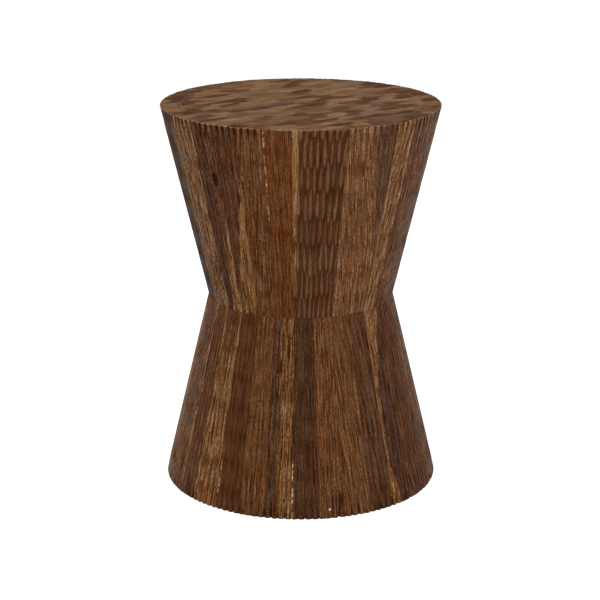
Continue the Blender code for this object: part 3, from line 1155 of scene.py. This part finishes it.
def wood_finish(name, deep, pale, woods, gloss, scooped):
    """Lacquered wood: figure, fibres and pores along the grain, with what the piece marks on its points.

    Scooped wood takes its deep and pale tones from its scoops.
    """
    finish, tree, shader = new_finish(name)
    grain = read_mark(tree, "grain", "Vector")
    fibre = noise(tree, grain, "fibre")
    pore = noise(tree, grain, "pore")
    if scooped:
        cloud = banded(tree, noise(tree, grain, "seat_cloud"), "seat_cloud")
        share = banded(tree, plus(tree, read_mark(tree, "scoop"), cloud), "mottle")
    else:
        share = banded(tree, noise(tree, grain, "figure"), "figure")
    wood = blend(tree, share, deep, pale)
    ragged = times(tree, plus(tree, fibre, -0.5), FRAY)
    sap = banded(tree, plus(tree, read_mark(tree, "sap"), ragged), "sap")
    wood = blend(tree, sap, wood, tuple(woods.sapwood))
    heart = banded(tree, plus(tree, read_mark(tree, "heart"), ragged), "heart")
    wood = blend(tree, heart, wood, tuple(woods.heart))

    fleck = noise(tree, grain, "fleck")
    streaks = times(tree, banded(tree, fibre, "fibre"), banded(tree, fleck, "fleck"))
    streaks = times(tree, streaks, banded(tree, pore, "pore"))
    shade = math_node(tree, "POWER", streaks, read_mark(tree, "fibre"))
    # Painted light and shade of the carving, and the wood's dark knots
    shade = times(tree, shade, banded(tree, read_mark(tree, "relief"), "relief"))
    wood = strayed_colour(tree, shaded_colour(tree, wood, shade), grain, scooped)
    tone = read_mark(tree, "tone")
    wood = tinted(tree, wood, combined(tree, tone, tone, tone))
    # Painted highlights on the eased rim and painted sheen on the walls
    wood = blend(tree, times(tree, read_mark(tree, "wear"), HIGHLIGHT_AND_SHEEN_SHARE), wood, tuple(woods.wear))
    wood = blend(tree, read_mark(tree, "filler"), wood, tuple(woods.filler))
    wood = blend(tree, read_mark(tree, "chip"), wood, tuple(woods.chip))

    height = plus(tree, times(tree, fibre, FIBRE_HEIGHT), times(tree, pore, PORE_HEIGHT))
    bump = add_node(tree, "ShaderNodeBump", {"Strength": 0.30, "Distance": 0.0003, "Height": height})
    tree.links.new(wood, shader.inputs["Base Color"])
    tree.links.new(banded(tree, fibre, "wood_roughness"), shader.inputs["Roughness"])
    tree.links.new(bump.outputs["Normal"], shader.inputs["Normal"])
    shader.inputs["Specular IOR Level"].default_value = gloss
    return finish


def ply_finish(name, woods):
    """Raw plywood: thin veneers on its edges and straight grain on its faces."""
    finish, tree, shader = new_finish(name)
    place = add_node(tree, "ShaderNodeTexCoord", {}).outputs["Object"]
    face = noise(tree, place, "ply_face")
    veneers = {"Vector": place, "Scale": 90.0, "Distortion": 0.4}
    waves = add_node(tree, "ShaderNodeTexWave", veneers, bands_direction="Z").outputs["Fac"]
    share = plus(tree, times(tree, face, PLY_FACE), times(tree, waves, PLY_VENEERS))
    colour = blend(tree, banded(tree, share, "ply"), tuple(woods.ply_dark), tuple(woods.ply_pale))
    bump = add_node(tree, "ShaderNodeBump", {"Strength": 0.25, "Distance": 0.0004, "Height": face})
    tree.links.new(colour, shader.inputs["Base Color"])
    tree.links.new(bump.outputs["Normal"], shader.inputs["Normal"])
    shader.inputs["Roughness"].default_value = 0.68
    shader.inputs["Specular IOR Level"].default_value = 0.25
    return finish


def steel_finish(name, woods):
    """Zinc plate with a cloudy sheen."""
    finish, tree, shader = new_finish(name)
    place = add_node(tree, "ShaderNodeTexCoord", {}).outputs["Object"]
    cloud = noise(tree, place, "zinc_cloud")
    bright = tuple(woods.steel)
    dull = tuple(channel * DULL_ZINC for channel in bright)
    tree.links.new(blend(tree, cloud, dull, bright), shader.inputs["Base Color"])
    tree.links.new(banded(tree, cloud, "zinc_roughness"), shader.inputs["Roughness"])
    shader.inputs["Metallic"].default_value = 1.0
    return finish


def wood_for(slot, woods):
    """The finish of one of the record's wood slots, made once."""
    name = f"{slot}_finish"
    if name in bpy.data.materials:
        return bpy.data.materials[name]
    short = {
        "dark_heartwood": "dark",
        "brown_heartwood": "brown",
        "red_heartwood": "red",
        "golden_sapwood": "gold",
        "seat_wood": "seat",
    }[slot]
    deep = tuple(getattr(woods, f"{short}_deep"))
    pale = tuple(getattr(woods, f"{short}_pale"))
    gloss = {"dark": DARK_GLOSS, "seat": SEAT_GLOSS}.get(short, STAVE_GLOSS)
    return wood_finish(name, deep, pale, woods, gloss, short == "seat")


def shown_white(tree):
    """A share that is 1 where the camera, a reflection or glass looks straight at a surface."""
    path = add_node(tree, "ShaderNodeLightPath", {}).outputs
    share = plus(tree, path["Is Camera Ray"], path["Is Glossy Ray"])
    inputs = {0: share, 1: path["Is Transmission Ray"]}
    return add_node(tree, "ShaderNodeMath", inputs, operation="ADD", use_clamp=True).outputs[0]


def floor_finish(colour):
    """A pale floor that shows white, less the soft shadow that stands on it."""
    finish = bpy.data.materials.new("studio_floor_finish")
    finish.use_nodes = True
    tree = finish.node_tree
    tree.nodes.clear()
    lit = add_node(tree, "ShaderNodeBsdfDiffuse", {"Color": (*colour, 1.0)}).outputs[0]
    shadowed = add_node(tree, "ShaderNodeBsdfDiffuse", {"Color": SHADOW_GREY}).outputs[0]
    glow = add_node(tree, "ShaderNodeEmission", {"Color": WHITE, "Strength": FLOOR_GLOW}).outputs[0]
    white = add_node(tree, "ShaderNodeAddShader", {0: glow, 1: shadowed}).outputs[0]
    mixed = add_node(tree, "ShaderNodeMixShader", {0: shown_white(tree), 1: lit, 2: white}).outputs[0]
    add_node(tree, "ShaderNodeOutputMaterial", {"Surface": mixed})
    return finish


def add_lamp(name, place, target, width, height, energy):
    """A soft rectangular lamp that faces a target."""
    lamp = bpy.data.lights.new(name, "AREA")
    lamp.shape = "RECTANGLE"
    lamp.size = width
    lamp.size_y = height
    lamp.energy = energy
    holder = bpy.data.objects.new(name, lamp)
    holder.location = place
    holder.rotation_euler = (target - holder.location).to_track_quat("-Z", "Y").to_euler()
    bpy.context.scene.collection.objects.link(holder)


class STOOL_OT_upper_staves(bpy.types.Operator):
    """Carve the upper cone's staves and scoop their ends round the seat"""

    bl_idname = "stool.upper_staves"
    bl_label = "Carve upper staves"

    def execute(self, context):
        scene = context.scene
        scoops = lay_scoops(scene.stool_seat)
        end_finish = wood_for("seat_wood", scene.stool_woods)
        for name in nodes_named("upper_stave_"):
            finish = wood_for(SLOT_OF[name], scene.stool_woods)
            carve_stave(name, scene.stool_carving, scoops, finish, end_finish)
        return {"FINISHED"}


class STOOL_OT_lower_staves(bpy.types.Operator):
    """Carve the lower cone's staves"""

    bl_idname = "stool.lower_staves"
    bl_label = "Carve lower staves"

    def execute(self, context):
        scene = context.scene
        for name in nodes_named("lower_stave_"):
            finish = wood_for(SLOT_OF[name], scene.stool_woods)
            carve_stave(name, scene.stool_carving, [], finish, finish)
        return {"FINISHED"}


class STOOL_OT_seat_boards(bpy.types.Operator):
    """Scoop the boards of the seat"""

    bl_idname = "stool.seat_boards"
    bl_label = "Scoop seat boards"

    def execute(self, context):
        scene = context.scene
        names = nodes_named("seat_board_")
        if len(names) < 2:
            raise RuntimeError("the seat needs two boards or more, to tell which way they run")
        scoops = lay_scoops(scene.stool_seat)
        spread = (node_points(names[-1]).mean(axis=0) - node_points(names[0]).mean(axis=0))[:2]
        across = spread / np.hypot(*spread)
        for name in names:
            finish = wood_for(SLOT_OF[name], scene.stool_woods)
            scoop_board(name, across, scene.stool_seat, scoops, finish)
        return {"FINISHED"}


class STOOL_OT_fittings(bpy.types.Operator):
    """Finish the plywood discs and ring, and the waist screws"""

    bl_idname = "stool.fittings"
    bl_label = "Finish fittings"

    def execute(self, context):
        woods = context.scene.stool_woods
        finishes = {
            "plywood": ply_finish("plywood_finish", woods),
            "screw_steel": steel_finish("screw_steel_finish", woods),
        }
        for name, slot in SLOT_OF.items():
            if slot in finishes:
                frame["nodes"][name].material_slots[0].material = finishes[slot]
        return {"FINISHED"}


class STOOL_OT_stage(bpy.types.Operator):
    """Set up the floor, the lamps, the white room and the camera"""

    bl_idname = "stool.stage"
    bl_label = "Set up stage"

    def execute(self, context):
        scene = context.scene
        stage = scene.stool_stage

        shape = bmesh.new()
        bmesh.ops.create_circle(shape, cap_ends=True, segments=FLOOR_SIDES, radius=FLOOR_RADIUS)
        mesh = bpy.data.meshes.new("studio_floor")
        shape.to_mesh(mesh)
        shape.free()
        mesh.materials.append(floor_finish(stage.floor_colour))
        floor = bpy.data.objects.new("studio_floor", mesh)
        scene.collection.objects.link(floor)

        centre = (CAD_BOX[0] + CAD_BOX[1]) / 2
        for name, (place, width, height, setting) in LAMPS.items():
            add_lamp(name, place, centre, width, height, getattr(stage, setting))

        world = bpy.data.worlds.new("white_room")
        world.use_nodes = True
        tree = world.node_tree
        room = tree.nodes["Background"]
        room.inputs["Color"].default_value = WHITE
        shown = {"Value": shown_white(tree), "To Min": stage.room_light, "To Max": 1.0}
        strength = add_node(tree, "ShaderNodeMapRange", shown).outputs["Result"]
        tree.links.new(strength, room.inputs["Strength"])
        scene.world = world

        lens = bpy.data.cameras.new("camera")
        lens.lens = stage.lens
        camera = bpy.data.objects.new("camera", lens)
        camera.location = (stage.camera_side, -stage.camera_distance, stage.camera_height)
        camera.rotation_euler = (math.pi / 2 - stage.camera_pitch, 0.0, 0.0)
        scene.collection.objects.link(camera)
        scene.camera = camera
        scene.view_settings.view_transform = "Standard"
        return {"FINISHED"}


class STOOL_PT_bench(bpy.types.Panel):
    """The stool's steps and settings"""

    bl_idname = "STOOL_PT_bench"
    bl_label = "Carved stool"
    bl_space_type = "VIEW_3D"
    bl_region_type = "UI"
    bl_category = "Stool"

    def draw(self, context):
        layout = self.layout
        for step in STEPS:
            layout.operator(step.bl_idname)
        for group in SETTINGS:
            box = layout.box()
            settings = getattr(context.scene, group)
            for name in settings.__annotations__:
                box.prop(settings, name)


STEPS = (
    STOOL_OT_upper_staves,
    STOOL_OT_lower_staves,
    STOOL_OT_seat_boards,
    STOOL_OT_fittings,
    STOOL_OT_stage,
)
SETTINGS = {
    "stool_carving": CarvingSettings,
    "stool_seat": SeatSettings,
    "stool_woods": WoodSettings,
    "stool_stage": StageSettings,
}
CLASSES = (*SETTINGS.values(), *STEPS, STOOL_PT_bench)


def register():
    for item in CLASSES:
        bpy.utils.register_class(item)
    for name, group in SETTINGS.items():
        setattr(bpy.types.Scene, name, PointerProperty(type=group))


def unregister():
    for name in SETTINGS:
        delattr(bpy.types.Scene, name)
    for item in reversed(CLASSES):
        bpy.utils.unregister_class(item)


def main():
    register()
    bpy.ops.stool.upper_staves()
    bpy.ops.stool.lower_staves()
    bpy.ops.stool.seat_boards()
    bpy.ops.stool.fittings()
    bpy.ops.stool.stage()


if __name__ == "__main__":
    main()
